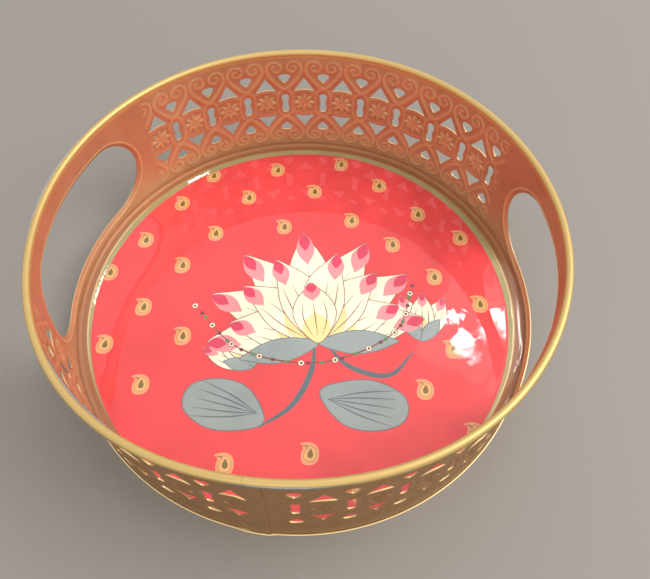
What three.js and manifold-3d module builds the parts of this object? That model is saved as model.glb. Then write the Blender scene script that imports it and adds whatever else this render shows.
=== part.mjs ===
// A round serving tray. A pierced and pressed strip of sheet steel is rolled into a ring with a lap at the front,
// its top edge is wired, two hand slots are punched in its sides, and its foot stands in the folded edge of a round
// bottom sheet. A painted fibreboard disc fills the bottom, carries a printed sheet and is flooded with clear resin.
// Millimetres, +Z up. The origin is the middle of the underside. The hand slots face -X and +X, the lap faces -Y.
import * as THREE from "three";
import { mergeVertices } from "three/addons/utils/BufferGeometryUtils.js";
import Module from "manifold-3d";

// Overall size
const RIM_RADIUS = 127; // to the outside of the wired edge
const TRAY_HEIGHT = 81; // from the underside to the top of the wired edge

// Sheet metal wall
const WALL_SHEET = 0.6;
const BEAD_DIAMETER = 3.6; // the wired edge, over the sheet
const BEAD_OVERHANG = 0.6; // how far the wired edge stands inside the wall
const CURL_END_DEG = -96; // where the rolled edge stops, measured round the wire from the outermost side
const CLEARANCE = 0.3; // between two pieces that fit together

// Bottom sheet
const BASE_SHEET = 0.6;
const HEM_HEIGHT = 1.6; // of the folded edge round the wall's foot
const HEM_CORNER = 0.3; // bevel under the folded edge

// Floor
const BOARD_THICKNESS = 7;
const BOARD_CLEARANCE = 0.5; // between the board's edge and the wall
const PRINT_THICKNESS = 0.25;
const PRINT_MARGIN = 7.7; // plain board between the print and the wall
const RESIN_DEPTH = 1.2; // over the print
const MENISCUS_RISE = 2.2; // how far the resin climbs the wall
const MENISCUS_WIDTH = 5; // how far from the wall the climb begins
const MENISCUS_STEPS = 4;

// Hand slots
const SLOT_LENGTH = 120; // along the wall
const SLOT_HEIGHT = 47.5;
const SLOT_CENTRE_HEIGHT = 40.4; // above the underside
const SLOT_AZIMUTH_FROM_BACK = 88.6; // degrees either way from the middle of the back

// Pierced pattern, sizes along the wall and up it
const PATTERN_HEIGHT = 43.8; // height of the pattern's middle above the underside
const PATTERN_PITCH = 23.6; // from one upright slot to the next
const BACK_MARGIN = 15; // plain wall between the back's last hole centre and a hand slot
const FRONT_MARGIN = 12.5; // the same at the front
const SMALL_HOLE_RISE = 18.6; // from the pattern's middle to a small hole's centre
const SMALL_HOLE_WIDTH = 8;
const SMALL_HOLE_HEIGHT = 6.6;
const SHIELD_TOP_SHARE = 0.7; // the shield's flat side as a share of its width
const LARGE_HOLE_RISE = 14; // from the pattern's middle to a large hole's centre
const LARGE_HOLE_WIDTH = 13;
const LARGE_HOLE_HEIGHT = 9.6;
const LARGE_HOLE_HOLLOW = 1; // how far its long side bends in
const HOLLOW_SHARE = 0.45; // how much of the long side is the bottom of that bend
const UPRIGHT_HEIGHT = 13.6;
const UPRIGHT_LOBE = 4.8; // width of the upright slot at its two ends
const UPRIGHT_WAIST = 3.4; // width in its middle

// Lap of the wall strip
const LAP_AZIMUTH = -89; // degrees, the middle of the overlap
const LAP_LENGTH = 6; // along the wall
const JOGGLE_LENGTH = 6; // along the wall, where the outer end steps over the inner one
const LAP_TO_RIGHT_PATTERN = 18.6; // from the inner end of the strip to its first upright slot
const CUT_COLUMN_INSET = 0.9; // from the outer end of the strip to the hole centres that it cuts through
const BEAD_JOINT = 0.6; // gap between the two ends of the wired edge

// Facets
const RING_FACETS = 90;
const CURL_FACETS = 6; // on a half circle
const LOBE_FACETS = 3;
const WIRE_FACETS = 8;
const SLOT_END_FACETS = 8; // on each half circle
const CUTTER_REACH = 30; // how far a cutter runs past the wall on either side

// Places that follow from the sizes
const BEAD_RADIUS = BEAD_DIAMETER / 2;
const BEAD_CENTRE_RADIUS = RIM_RADIUS - BEAD_RADIUS;
const BEAD_CENTRE_HEIGHT = TRAY_HEIGHT - BEAD_RADIUS;
const WIRE_RADIUS = BEAD_RADIUS - WALL_SHEET - CLEARANCE;
const CURL_INNER = BEAD_RADIUS - WALL_SHEET;
const WALL_INNER = RIM_RADIUS - BEAD_DIAMETER + BEAD_OVERHANG;
const WALL_OUTER = WALL_INNER + WALL_SHEET;
const WALL_FOOT = BASE_SHEET + CLEARANCE;
const HEM_INNER = WALL_OUTER + CLEARANCE;
const HEM_OUTER = HEM_INNER + BASE_SHEET;
const BOARD_TOP = BASE_SHEET + BOARD_THICKNESS;
const PRINT_RADIUS = WALL_INNER - PRINT_MARGIN;
const PRINT_TOP = BOARD_TOP + PRINT_THICKNESS;
const RESIN_TOP = PRINT_TOP + RESIN_DEPTH;
const TAB_INNER = WALL_OUTER + CLEARANCE;
const TAB_OUTER = TAB_INNER + WALL_SHEET;
const TAB_FOOT = HEM_HEIGHT + CLEARANCE;
const TAB_TOP = BEAD_CENTRE_HEIGHT - BEAD_RADIUS - CLEARANCE;

const along = (length) => THREE.MathUtils.radToDeg(length / WALL_OUTER); // a length on the wall as degrees
const INNER_END = LAP_AZIMUTH - along(LAP_LENGTH) / 2;
const OUTER_END = LAP_AZIMUTH + along(LAP_LENGTH) / 2;
const JOGGLE_END = INNER_END - along(CLEARANCE);
const JOGGLE_START = JOGGLE_END - along(JOGGLE_LENGTH);
const BACK = 90;
const LEFT_SLOT = BACK + SLOT_AZIMUTH_FROM_BACK;
const RIGHT_SLOT = BACK - SLOT_AZIMUTH_FROM_BACK;

const wasm = await Module();
wasm.setup();

// Joining and cutting closed meshes
function solid(geometry) {
  const bare = geometry.index ? geometry.toNonIndexed() : geometry.clone();
  bare.deleteAttribute("normal");
  bare.deleteAttribute("uv");
  const merged = mergeVertices(bare, 1e-4);
  return new wasm.Manifold(
    new wasm.Mesh({
      numProp: 3,
      vertProperties: merged.attributes.position.array,
      triVerts: new Uint32Array(merged.index.array),
    }),
  );
}

function geometryOf(manifold) {
  const made = manifold.getMesh();
  const indexed = new THREE.BufferGeometry();
  indexed.setAttribute("position", new THREE.BufferAttribute(new Float32Array(made.vertProperties), 3));
  indexed.setIndex(new THREE.BufferAttribute(new Uint32Array(made.triVerts), 1));
  const faceted = indexed.toNonIndexed();
  faceted.computeVertexNormals();
  return faceted;
}

// A piece turned round the tray's axis from a profile of [radius, height] points, in either sense of rotation
function turned(profile) {
  const points = profile.map(([radius, height]) => new THREE.Vector2(radius, height));
  if (THREE.ShapeUtils.area(points) < 0) {
    points.reverse();
  }
  return new THREE.LatheGeometry(points, RING_FACETS).rotateX(Math.PI / 2);
}

function arc(centreX, centreY, radius, fromDeg, toDeg, steps) {
  const points = [];
  for (let i = 0; i <= steps; i++) {
    const angle = THREE.MathUtils.degToRad(fromDeg + ((toDeg - fromDeg) * i) / steps);
    points.push([centreX + radius * Math.cos(angle), centreY + radius * Math.sin(angle)]);
  }
  return points;
}

function shapeOf(outline) {
  return new THREE.Shape(outline.map(([x, y]) => new THREE.Vector2(x, y)));
}

// A punch: an outline drawn on the unrolled wall, carried out along the radius at an azimuth
function punch(outline, azimuthDeg, height, innerRadius, outerRadius) {
  const depth = outerRadius - innerRadius;
  const geometry = new THREE.ExtrudeGeometry(shapeOf(outline), { depth, bevelEnabled: false });
  const place = geometry.attributes.position;
  for (let i = 0; i < place.count; i++) {
    const angle = THREE.MathUtils.degToRad(azimuthDeg + along(place.getX(i)));
    const radius = innerRadius + place.getZ(i);
    place.setXYZ(i, radius * Math.cos(angle), radius * Math.sin(angle), height + place.getY(i));
  }
  return solid(geometry);
}

// Outlines on the unrolled wall, centred on their own middle. X runs along the wall, Y up it
function handSlotOutline() {
  const end = SLOT_HEIGHT / 2;
  const straight = SLOT_LENGTH / 2 - end;
  return [
    ...arc(straight, 0, end, -90, 90, SLOT_END_FACETS),
    ...arc(-straight, 0, end, 90, 270, SLOT_END_FACETS),
  ];
}

// The small hole is a shield: a flat side away from the pattern's middle and a point towards it
function smallHoleOutline(up) {
  const half = SMALL_HOLE_WIDTH / 2;
  const top = SMALL_HOLE_HEIGHT * 0.45;
  const shoulder = SMALL_HOLE_HEIGHT * 0.12;
  const outline = [
    [-half * SHIELD_TOP_SHARE, top],
    [-half, shoulder],
    [0, top - SMALL_HOLE_HEIGHT],
    [half, shoulder],
    [half * SHIELD_TOP_SHARE, top],
  ];
  return up ? outline : outline.map(([x, y]) => [x, -y]).reverse();
}

// The large hole is a triangle with its point away from the pattern's middle and its long side bent in
function largeHoleOutline(up) {
  const half = LARGE_HOLE_WIDTH / 2;
  const low = -LARGE_HOLE_HEIGHT / 2;
  const outline = [
    [-half, low],
    [-half * HOLLOW_SHARE, low + LARGE_HOLE_HOLLOW],
    [half * HOLLOW_SHARE, low + LARGE_HOLE_HOLLOW],
    [half, low],
    [0, LARGE_HOLE_HEIGHT / 2],
  ];
  return up ? outline : outline.map(([x, y]) => [x, -y]).reverse();
}

// The upright slot has two round ends and a waist
function uprightOutline() {
  const lobe = UPRIGHT_LOBE / 2;
  const waist = UPRIGHT_WAIST / 2;
  const lobeCentre = UPRIGHT_HEIGHT / 2 - lobe;
  return [
    ...arc(0, lobeCentre, lobe, -20, 200, LOBE_FACETS),
    [-waist, 0],
    ...arc(0, -lobeCentre, lobe, 160, 380, LOBE_FACETS),
    [waist, 0],
  ];
}

// One step of the pattern is a column of three holes or a pair of large triangles, in turn, half a pitch apart
function patternPunches(isColumn, azimuthDeg, innerRadius, outerRadius) {
  const at = (outline, rise) => punch(outline, azimuthDeg, PATTERN_HEIGHT + rise, innerRadius, outerRadius);
  if (isColumn) {
    return [
      at(smallHoleOutline(true), SMALL_HOLE_RISE),
      at(uprightOutline(), 0),
      at(smallHoleOutline(false), -SMALL_HOLE_RISE),
    ];
  }
  return [at(largeHoleOutline(true), LARGE_HOLE_RISE), at(largeHoleOutline(false), -LARGE_HOLE_RISE)];
}

// Azimuths of the pattern's steps in each of its three runs, as [isColumn, degrees]
function patternSteps() {
  const half = along(PATTERN_PITCH / 2);
  const slotHalf = along(SLOT_LENGTH / 2);
  const margin = along(FRONT_MARGIN);
  const steps = [];
  const backArc = 2 * (SLOT_AZIMUTH_FROM_BACK - slotHalf - along(BACK_MARGIN));
  const backSteps = Math.floor(backArc / half);
  for (let i = 0; i <= backSteps; i++) {
    steps.push([i % 2 === 1, BACK + (backSteps / 2 - i) * half]);
  }
  const leftLimit = LEFT_SLOT - 360 + slotHalf + margin;
  const cutColumn = OUTER_END - along(CUT_COLUMN_INSET);
  for (let i = 1; cutColumn - i * half >= leftLimit; i++) {
    steps.push([i % 2 === 0, cutColumn - i * half]);
  }
  const rightLimit = RIGHT_SLOT - slotHalf - margin;
  const firstRight = INNER_END + along(LAP_TO_RIGHT_PATTERN);
  for (let i = 0; firstRight + i * half <= rightLimit; i++) {
    steps.push([i % 2 === 0, firstRight + i * half]);
  }
  return steps;
}

// Wall and wired edge as one section: up the inside, out over the wire, round under it, and back inside the curl
function wallSection() {
  const meets = (radius, wall) => 180 + THREE.MathUtils.radToDeg(Math.acos((BEAD_CENTRE_RADIUS - wall) / radius));
  const round = (radius, fromDeg, toDeg, steps) =>
    arc(BEAD_CENTRE_RADIUS, BEAD_CENTRE_HEIGHT, radius, fromDeg, toDeg, steps);
  const inner = CURL_FACETS - 2;
  return [
    [WALL_INNER, WALL_FOOT],
    ...round(BEAD_RADIUS, meets(BEAD_RADIUS, WALL_INNER), 90, inner),
    ...round(BEAD_RADIUS, 90, CURL_END_DEG, CURL_FACETS).slice(1),
    ...round(CURL_INNER, CURL_END_DEG, 90, inner),
    ...round(CURL_INNER, 90, meets(CURL_INNER, WALL_OUTER), inner - 1).slice(1),
    [WALL_OUTER, WALL_FOOT],
    [WALL_INNER, WALL_FOOT],
  ];
}

// A wedge of the ring between two azimuths and two heights, to cut the ring open
function wedge(fromDeg, toDeg, low, high) {
  const near = WALL_INNER - CUTTER_REACH;
  const far = RIM_RADIUS + CUTTER_REACH;
  const outline = [
    ...arc(0, 0, near, toDeg, fromDeg, 1),
    ...arc(0, 0, far, fromDeg, toDeg, 1),
  ];
  const geometry = new THREE.ExtrudeGeometry(shapeOf(outline), { depth: high - low, bevelEnabled: false });
  return solid(geometry.translate(0, 0, low));
}

// The outer end of the strip: it steps out over the inner end and lies on it
function lapTab() {
  const root = JOGGLE_START - along(WALL_SHEET); // it grows out of the wall a little before the step
  const inner = [
    ...arc(0, 0, WALL_INNER, root, JOGGLE_START, 1),
    ...arc(0, 0, TAB_INNER, JOGGLE_END, OUTER_END, 3),
  ];
  const outer = [
    ...arc(0, 0, TAB_OUTER, OUTER_END, JOGGLE_END, 3),
    ...arc(0, 0, WALL_OUTER, JOGGLE_START, root, 1),
  ];
  const geometry = new THREE.ExtrudeGeometry(shapeOf([...inner, ...outer]), {
    depth: TAB_TOP - TAB_FOOT,
    bevelEnabled: false,
  });
  let tab = solid(geometry.translate(0, 0, TAB_FOOT));
  const cutColumn = OUTER_END - along(CUT_COLUMN_INSET);
  for (const hole of patternPunches(true, cutColumn, WALL_OUTER + CLEARANCE / 2, RIM_RADIUS + CUTTER_REACH)) {
    tab = tab.subtract(hole);
  }
  return tab;
}

function wallBand() {
  let band = solid(turned(wallSection()));
  band = band.subtract(wedge(JOGGLE_START, INNER_END, 0, BEAD_CENTRE_HEIGHT - BEAD_RADIUS));
  band = band.subtract(wedge(INNER_END - along(BEAD_JOINT), INNER_END, 0, TRAY_HEIGHT + CUTTER_REACH));
  band = band.add(lapTab());
  const inside = WALL_INNER - CUTTER_REACH;
  const outside = RIM_RADIUS + CUTTER_REACH;
  for (const azimuth of [LEFT_SLOT, RIGHT_SLOT]) {
    band = band.subtract(punch(handSlotOutline(), azimuth, SLOT_CENTRE_HEIGHT, inside, outside));
  }
  for (const [isColumn, azimuth] of patternSteps()) {
    for (const hole of patternPunches(isColumn, azimuth, inside, outside)) {
      band = band.subtract(hole);
    }
  }
  return geometryOf(band);
}

function rimWire() {
  const ring = new THREE.TorusGeometry(BEAD_CENTRE_RADIUS, WIRE_RADIUS, WIRE_FACETS, RING_FACETS);
  return ring.translate(0, 0, BEAD_CENTRE_HEIGHT);
}

function baseSheet() {
  return turned([
    [0, 0],
    [HEM_OUTER - HEM_CORNER, 0],
    [HEM_OUTER, HEM_CORNER],
    [HEM_OUTER, HEM_HEIGHT],
    [HEM_INNER, HEM_HEIGHT],
    [HEM_INNER, BASE_SHEET],
    [0, BASE_SHEET],
  ]);
}

function disc(radius, low, high) {
  return turned([
    [0, low],
    [radius, low],
    [radius, high],
    [0, high],
  ]);
}

// The clear coat fills the step at the print's edge and climbs the wall
function resinCoat() {
  const edge = WALL_INNER - CLEARANCE;
  const climb = [];
  for (let i = 0; i <= MENISCUS_STEPS; i++) {
    const share = i / MENISCUS_STEPS;
    climb.push([edge - MENISCUS_WIDTH * share, RESIN_TOP + MENISCUS_RISE * (1 - share) ** 2]);
  }
  const step = PRINT_RADIUS + CLEARANCE;
  return turned([[0, PRINT_TOP], [step, PRINT_TOP], [step, BOARD_TOP], [edge, BOARD_TOP], ...climb, [0, RESIN_TOP]]);
}

const FINISHES = {
  gold_paint: { color: 0xc9a35a, roughness: 0.38, metalness: 0.85 },
  bare_steel: { color: 0x9a9a98, roughness: 0.45, metalness: 1 },
  painted_board: { color: 0xb39a5a, roughness: 0.45, metalness: 0.4 },
  printed_sheet: { color: 0xe8474d, roughness: 0.5, metalness: 0 },
  clear_resin: { color: 0xfff4ee, roughness: 0.05, metalness: 0, transparent: true, opacity: 0.3 },
};

function piece(name, geometry, finish) {
  const mesh = new THREE.Mesh(geometry, new THREE.MeshStandardMaterial(FINISHES[finish]));
  mesh.name = name;
  return mesh;
}

const tray = new THREE.Group();
tray.add(
  piece("wall_band", wallBand(), "gold_paint"),
  piece("rim_wire", rimWire(), "bare_steel"),
  piece("base_sheet", baseSheet(), "gold_paint"),
  piece("floor_board", disc(WALL_INNER - BOARD_CLEARANCE, BASE_SHEET, BOARD_TOP), "painted_board"),
  piece("print_sheet", disc(PRINT_RADIUS, BOARD_TOP, PRINT_TOP), "printed_sheet"),
  piece("resin_coat", resinCoat(), "clear_resin"),
);

export default tray;
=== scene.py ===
# A round serving tray: pierced, pressed sheet steel in satin gold paint round a printed floor under resin.
# Metres, +Z up. The origin is the middle of the underside, the lap of the wall strip faces -Y.
import math

import bmesh
import bpy
import numpy as np
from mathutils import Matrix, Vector
from mathutils.geometry import delaunay_2d_cdt


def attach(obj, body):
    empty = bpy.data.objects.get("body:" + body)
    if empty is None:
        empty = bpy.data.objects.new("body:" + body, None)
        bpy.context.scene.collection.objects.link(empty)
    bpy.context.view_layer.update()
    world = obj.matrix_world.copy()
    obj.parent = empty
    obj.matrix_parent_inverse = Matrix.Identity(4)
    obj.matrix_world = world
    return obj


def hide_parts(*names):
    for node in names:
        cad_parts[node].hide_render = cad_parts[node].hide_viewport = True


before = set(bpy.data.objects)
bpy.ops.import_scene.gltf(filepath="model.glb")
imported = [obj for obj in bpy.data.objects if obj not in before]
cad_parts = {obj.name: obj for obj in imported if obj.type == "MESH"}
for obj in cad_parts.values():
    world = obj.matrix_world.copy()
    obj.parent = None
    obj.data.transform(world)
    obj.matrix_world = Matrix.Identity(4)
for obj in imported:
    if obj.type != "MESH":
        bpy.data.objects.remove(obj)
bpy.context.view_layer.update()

# Sizes: the solids' own, but for the slots' length, the lap's step and the joint of the rolled edge
MM = 0.001
RIM_RADIUS = 127 * MM
TRAY_HEIGHT = 81 * MM
SHEET = 0.6 * MM
BEAD_RADIUS = 1.8 * MM
BEAD_CENTRE_RADIUS = RIM_RADIUS - BEAD_RADIUS
BEAD_CENTRE_HEIGHT = TRAY_HEIGHT - BEAD_RADIUS
WALL_INNER = 124.0 * MM
WALL_OUTER = WALL_INNER + SHEET
WALL_FOOT = 0.9 * MM
WALL_TOP = 77.0 * MM  # where the flat sheet meets the curl
CURL_END = -96  # degrees round the wire from the outermost side
BEAD_JOINT = 0.1 * MM  # between the two ends of the curl
LAP_STEP = 0.64 * MM  # the outer end lies tight on the inner one
JOGGLE = 6 * MM  # along the wall, where the outer end steps over the inner one
JOGGLE_PLACE = 6.3 * MM  # its beginning, before the strip has gone once round
HEM_INNER = 124.9 * MM
HEM_OUTER = 125.5 * MM
HEM_HEIGHT = 1.6 * MM
BOARD_TOP = 7.6 * MM
BOARD_EDGE = WALL_INNER - 0.05 * MM
PRINT_TOP = 7.85 * MM
RESIN_TOP = 9.05 * MM
RESIN_CLEARANCE = 0.02 * MM
FILLER = 2.6 * MM  # radius of the filler in the corner of board and wall
PATTERN_MIDDLE = 43.8 * MM
PITCH = 23.6 * MM
SMALL_RISE = 18.6 * MM
LARGE_RISE = 14 * MM
SLOT_LENGTH = 121 * MM
SLOT_HEIGHT = 47.5 * MM
SLOT_MIDDLE = 40.4 * MM
SLOT_AZIMUTHS = (1.0, 178.2)  # degrees
LAP_MIDDLE = math.radians(-89)
LAP_LENGTH = 6 * MM
INNER_END = LAP_MIDDLE - LAP_LENGTH / 2 / WALL_OUTER
OUTER_END = LAP_MIDDLE + LAP_LENGTH / 2 / WALL_OUTER


def along(angle):
    """Place along the unrolled strip of an azimuth in degrees, counted from its inner end."""
    turn = (math.radians(angle) - INNER_END) % (2 * math.pi)
    return turn * WALL_OUTER


# Selecting, editing and finishing a piece
def only(piece):
    if bpy.context.object and bpy.context.object.mode != "OBJECT":
        bpy.ops.object.mode_set(mode="OBJECT")
    bpy.ops.object.select_all(action="DESELECT")
    piece.select_set(True)
    bpy.context.view_layer.objects.active = piece


def edit(piece, kind="FACE"):
    only(piece)
    bpy.ops.object.mode_set(mode="EDIT")
    bpy.ops.mesh.select_mode(type=kind)


def added(name):
    piece = bpy.context.object
    piece.name = name
    piece.data.name = name
    return piece


def with_modifier(piece, kind, **settings):
    only(piece)
    modifier = piece.modifiers.new(kind.title(), kind)
    for key, value in settings.items():
        setattr(modifier, key, value)
    bpy.ops.object.modifier_apply(modifier=modifier.name)


def joined(name, pieces):
    only(pieces[0])
    for piece in pieces:
        piece.select_set(True)
    bpy.ops.object.join()
    return added(name)


def places_of(piece):
    flat = np.empty(len(piece.data.vertices) * 3)
    piece.data.vertices.foreach_get("co", flat)
    return flat.reshape(-1, 3)


def move_to(piece, places):
    piece.data.vertices.foreach_set("co", places.ravel())
    piece.data.update()


def smooth_by(piece, degrees):
    only(piece)
    bpy.ops.object.shade_smooth_by_angle(angle=math.radians(degrees))


def mend_normals(piece):
    edit(piece)
    bpy.ops.mesh.select_all(action="SELECT")
    bpy.ops.mesh.remove_doubles(threshold=0.5e-6)
    bpy.ops.mesh.normals_make_consistent(inside=False)
    if bmesh.from_edit_mesh(piece.data).calc_volume(signed=True) < 0:
        bpy.ops.mesh.flip_normals()
    bpy.ops.object.mode_set(mode="OBJECT")


def arc(centre, radius, start, end, steps):
    """Points on an arc, angles in degrees."""
    angles = np.radians(np.linspace(start, end, steps + 1))
    return [(centre[0] + radius * math.cos(a), centre[1] + radius * math.sin(a)) for a in angles]


def turned(name, profile, steps=256, closed=False, start=0.0, sweep=2 * math.pi):
    """A profile of (radius, height) points drawn by extruding, then spun round the tray's axis."""
    bpy.ops.object.select_all(action="DESELECT")
    bpy.ops.mesh.primitive_plane_add(size=MM, location=(0, 0, 0))
    piece = added(name)
    edit(piece, "VERT")
    bpy.ops.mesh.select_all(action="SELECT")
    bpy.ops.mesh.merge(type="CENTER")
    bpy.ops.transform.translate(value=(profile[0][0], 0, profile[0][1]))
    for (r0, z0), (r1, z1) in zip(profile, profile[1:]):
        bpy.ops.mesh.extrude_region_move(TRANSFORM_OT_translate={"value": (r1 - r0, 0, z1 - z0)})
    bpy.ops.mesh.select_all(action="SELECT")
    if closed:
        bpy.ops.mesh.edge_face_add()
    if start:
        bpy.ops.transform.rotate(value=-start, orient_axis="Z", center_override=(0, 0, 0))
    bpy.ops.mesh.spin(steps=steps, angle=sweep, center=(0, 0, 0), axis=(0, 0, 1))
    bpy.ops.object.mode_set(mode="OBJECT")
    mend_normals(piece)
    return piece


# Outlines of the holes on the unrolled wall, about their own middle, in millimetres
def rounded(corners, radius, steps=4):
    """An outline with each corner turned on a small curve."""
    points = []
    count = len(corners)
    for i, corner in enumerate(corners):
        here = Vector(corner)
        before = Vector(corners[i - 1]) - here
        after = Vector(corners[(i + 1) % count]) - here
        enter = here + before.normalized() * min(radius, before.length * 0.45)
        leave = here + after.normalized() * min(radius, after.length * 0.45)
        for k in range(steps + 1):
            t = k / steps
            point = enter * (1 - t) ** 2 + here * 2 * t * (1 - t) + leave * t * t
            points.append((point.x, point.y))
    return points


def flipped(outline):
    return [(x, -y) for x, y in reversed(outline)]


SHIELD = rounded([(-2.8, 2.8), (-4.0, 0.8), (0, -3.6), (4.0, 0.8), (2.8, 2.8), (0, 3.2)], 1.1)
HOLLOW = [(13 * t - 6.5, 4 * t * (1 - t) - 4.8) for t in np.linspace(0.1, 0.9, 7)]
TRIANGLE = rounded([(0, 4.8), (-6.5, -4.8), *HOLLOW, (6.5, -4.8)], 0.8, 3)
UPRIGHT = rounded(
    [(2.35, 5.0), (1.5, 6.8), (-1.5, 6.8), (-2.35, 5.0), (-2.2, 2.8), (-1.65, 1.2),
     (-1.65, -1.2), (-2.2, -2.8), (-2.35, -5.0), (-1.5, -6.8), (1.5, -6.8), (2.35, -5.0),
     (2.2, -2.8), (1.65, -1.2), (1.65, 1.2), (2.2, 2.8)],
    0.9, 2)
SLOT_END = SLOT_HEIGHT / 2 / MM
SLOT_STRAIGHT = SLOT_LENGTH / 2 / MM - SLOT_END
STRAIGHT_RUN = np.linspace(SLOT_STRAIGHT, -SLOT_STRAIGHT, 60)[1:-1]
HAND_SLOT = [
    *arc((SLOT_STRAIGHT, 0), SLOT_END, -90, 90, 50), *((x, SLOT_END) for x in STRAIGHT_RUN),
    *arc((-SLOT_STRAIGHT, 0), SLOT_END, 90, 270, 50), *((-x, -SLOT_END) for x in STRAIGHT_RUN)]

# The frieze runs: place of the first step along the strip, whether that is a column, and the half pitches
HALF = PITCH / 2
ONCE_ROUND = 2 * math.pi * WALL_OUTER
RIGHT_STEPS, BACK_STEPS, LEFT_STEPS = 9, 19, 11
CUT_COLUMN = along(math.degrees(OUTER_END)) + ONCE_ROUND - 0.9 * MM  # the column that the strip's end cuts
RIGHT_START = 18.6 * MM
BACK_START = along(90) - BACK_STEPS / 2 * HALF
LEFT_START = CUT_COLUMN - LEFT_STEPS * HALF
RUNS = [(RIGHT_START, True, RIGHT_STEPS), (BACK_START, True, BACK_STEPS), (LEFT_START, False, LEFT_STEPS)]
SLOTS = [along(azimuth) for azimuth in SLOT_AZIMUTHS]


def hole_outlines():
    """Every pierced hole of the strip, in millimetres along it and above the table."""
    holes = []
    middle = PATTERN_MIDDLE / MM
    for start, first_is_column, steps in RUNS:
        for i in range(steps + 1):
            x = (start + i * HALF) / MM
            if abs(x - CUT_COLUMN / MM) < 1:
                continue
            if (i % 2 == 0) == first_is_column:
                holes.append(np.array(SHIELD) + (x, middle + SMALL_RISE / MM))
                holes.append(np.array(flipped(SHIELD)) + (x, middle - SMALL_RISE / MM))
                holes.append(np.array(UPRIGHT) + (x, middle))
            else:
                holes.append(np.array(TRIANGLE) + (x, middle + LARGE_RISE / MM))
                holes.append(np.array(flipped(TRIANGLE)) + (x, middle - LARGE_RISE / MM))
    for x in SLOTS:
        holes.append(np.array(HAND_SLOT) + (x / MM, SLOT_MIDDLE / MM))
    return holes


def inside(places, outline):
    """Which of the flat places lie inside a closed outline."""
    found = np.zeros(len(places), bool)
    near = np.nonzero(((places > outline.min(0)) & (places < outline.max(0))).all(1))[0]
    x, y = places[near].T
    crossings = np.zeros(len(near), bool)
    for (x0, y0), (x1, y1) in zip(outline, np.roll(outline, -1, 0)):
        if y0 != y1:
            crossings ^= ((y0 > y) != (y1 > y)) & (x < (x1 - x0) * (y - y0) / (y1 - y0) + x0)
    found[near] = crossings
    return found


def away_from(places, outline, reach):
    """Which of the places keep at least a reach from the outline's edge."""
    kept = np.ones(len(places), bool)
    near = np.nonzero(((places > outline.min(0) - reach) & (places < outline.max(0) + reach)).all(1))[0]
    here = places[near]
    clear = np.ones(len(near), bool)
    for a, b in zip(outline, np.roll(outline, -1, 0)):
        run = b - a
        t = np.clip(((here - a) @ run) / max(run @ run, 1e-12), 0, 1)
        clear &= np.linalg.norm(here - a - t[:, None] * run, axis=1) > reach
    kept[near] = clear
    return kept


def triangulated(rim, outlines, spread):
    """Triangles of a flat sheet whose edges follow the rim and each outline; lengths are in millimetres."""
    points = []
    loops = []
    for outline in (rim, *outlines):
        loops.append([*range(len(points), len(points) + len(outline)), len(points)])
        points += [Vector(map(float, place)) for place in outline]
    edges = [pair for loop in loops for pair in zip(loop, loop[1:])]
    points += [Vector(map(float, place)) for place in spread]
    made, _, faces, _, _, _ = delaunay_2d_cdt(points, edges, [], 0, 1e-4, False)
    made = np.array([tuple(place) for place in made])
    faces = np.array(faces)
    middles = made[faces].mean(1)
    held = inside(middles, np.array(rim))
    return made, faces[held], middles[held]


def sheet_from(name, places, faces):
    mesh = bpy.data.meshes.new(name)
    mesh.from_pydata(places.tolist(), [], faces.tolist())
    piece = bpy.data.objects.new(name, mesh)
    bpy.context.scene.collection.objects.link(piece)
    only(piece)
    return piece


# Pressed relief
def soft_step(value):
    t = np.clip(value, 0, 1)
    return t * t * (3 - 2 * t)


def curve_between(points, steps):
    """A Catmull-Rom curve from the second of the points up to the last but one."""
    made = []
    for a, b, c, d in zip(points, points[1:], points[2:], points[3:]):
        for k in range(steps):
            t = k / steps
            bend = (2 * a - 5 * b + 4 * c - d) * t * t
            made.append(0.5 * (2 * b + (c - a) * t + bend + (3 * b - a - 3 * c + d) * t ** 3))
    return made


def smooth_curve(points, steps=6):
    points = [np.array(p, float) for p in points]
    points = [2 * points[0] - points[1], *points, 2 * points[-1] - points[-2]]
    return np.array([*curve_between(points, steps), points[-2]])


def closed_curve(points, steps=5):
    count = len(points)
    round_trip = [np.array(points[(i - 1) % count], float) for i in range(count + 3)]
    return np.array(curve_between(round_trip, steps))


STRAND_EDGE = 0.32  # mm, half the width of a strand's sloping side


def strand_height(x, y, curve, width_start, width_end, height):
    """Height of a raised strand whose width runs from one size to the other, all in millimetres."""
    best = np.zeros_like(x)
    count = len(curve) - 1
    for i in range(count):
        a, b = curve[i], curve[i + 1]
        run = b - a
        t = np.clip(((x - a[0]) * run[0] + (y - a[1]) * run[1]) / (run @ run), 0, 1)
        away = np.hypot(x - a[0] - t * run[0], y - a[1] - t * run[1])
        half = (width_start + (width_end - width_start) * (i + t) / count) / 2
        best = np.maximum(best, soft_step((half + STRAND_EDGE - away) / (2 * STRAND_EDGE)))
    return best * height


HEART = smooth_curve([
    (0, 10.6), (2.7, 12.3), (5.3, 15.4), (7.9, 18.7), (9.8, 21.8), (10.5, 25.0), (9.6, 28.3), (7.0, 30.2),
    (4.0, 29.9), (1.9, 27.7), (1.9, 25.2), (3.8, 23.3), (6.2, 23.7), (7.3, 25.6), (6.4, 27.4), (4.9, 27.1)])
SIDE = smooth_curve([(0, 10.6), (3.1, 8.6), (4.5, 5.4), (4.9, 2.0), (4.9, -0.5)])
ARCH = smooth_curve([(3.0, 8.7), (5.6, 7.6), (8.6, 8.6), (12.2, 9.1)])
# The flower, in millimetres
PETAL_MIDDLE = 4.0
PETAL_HALF_LENGTH = 2.8
PETAL_HALF_WIDTH = 1.35
BUTTON_RADIUS = 1.2
FLOWER_HEIGHT = 0.6
DISH_RADIUS = 6.9
DISH_DEPTH = 0.2


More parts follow.
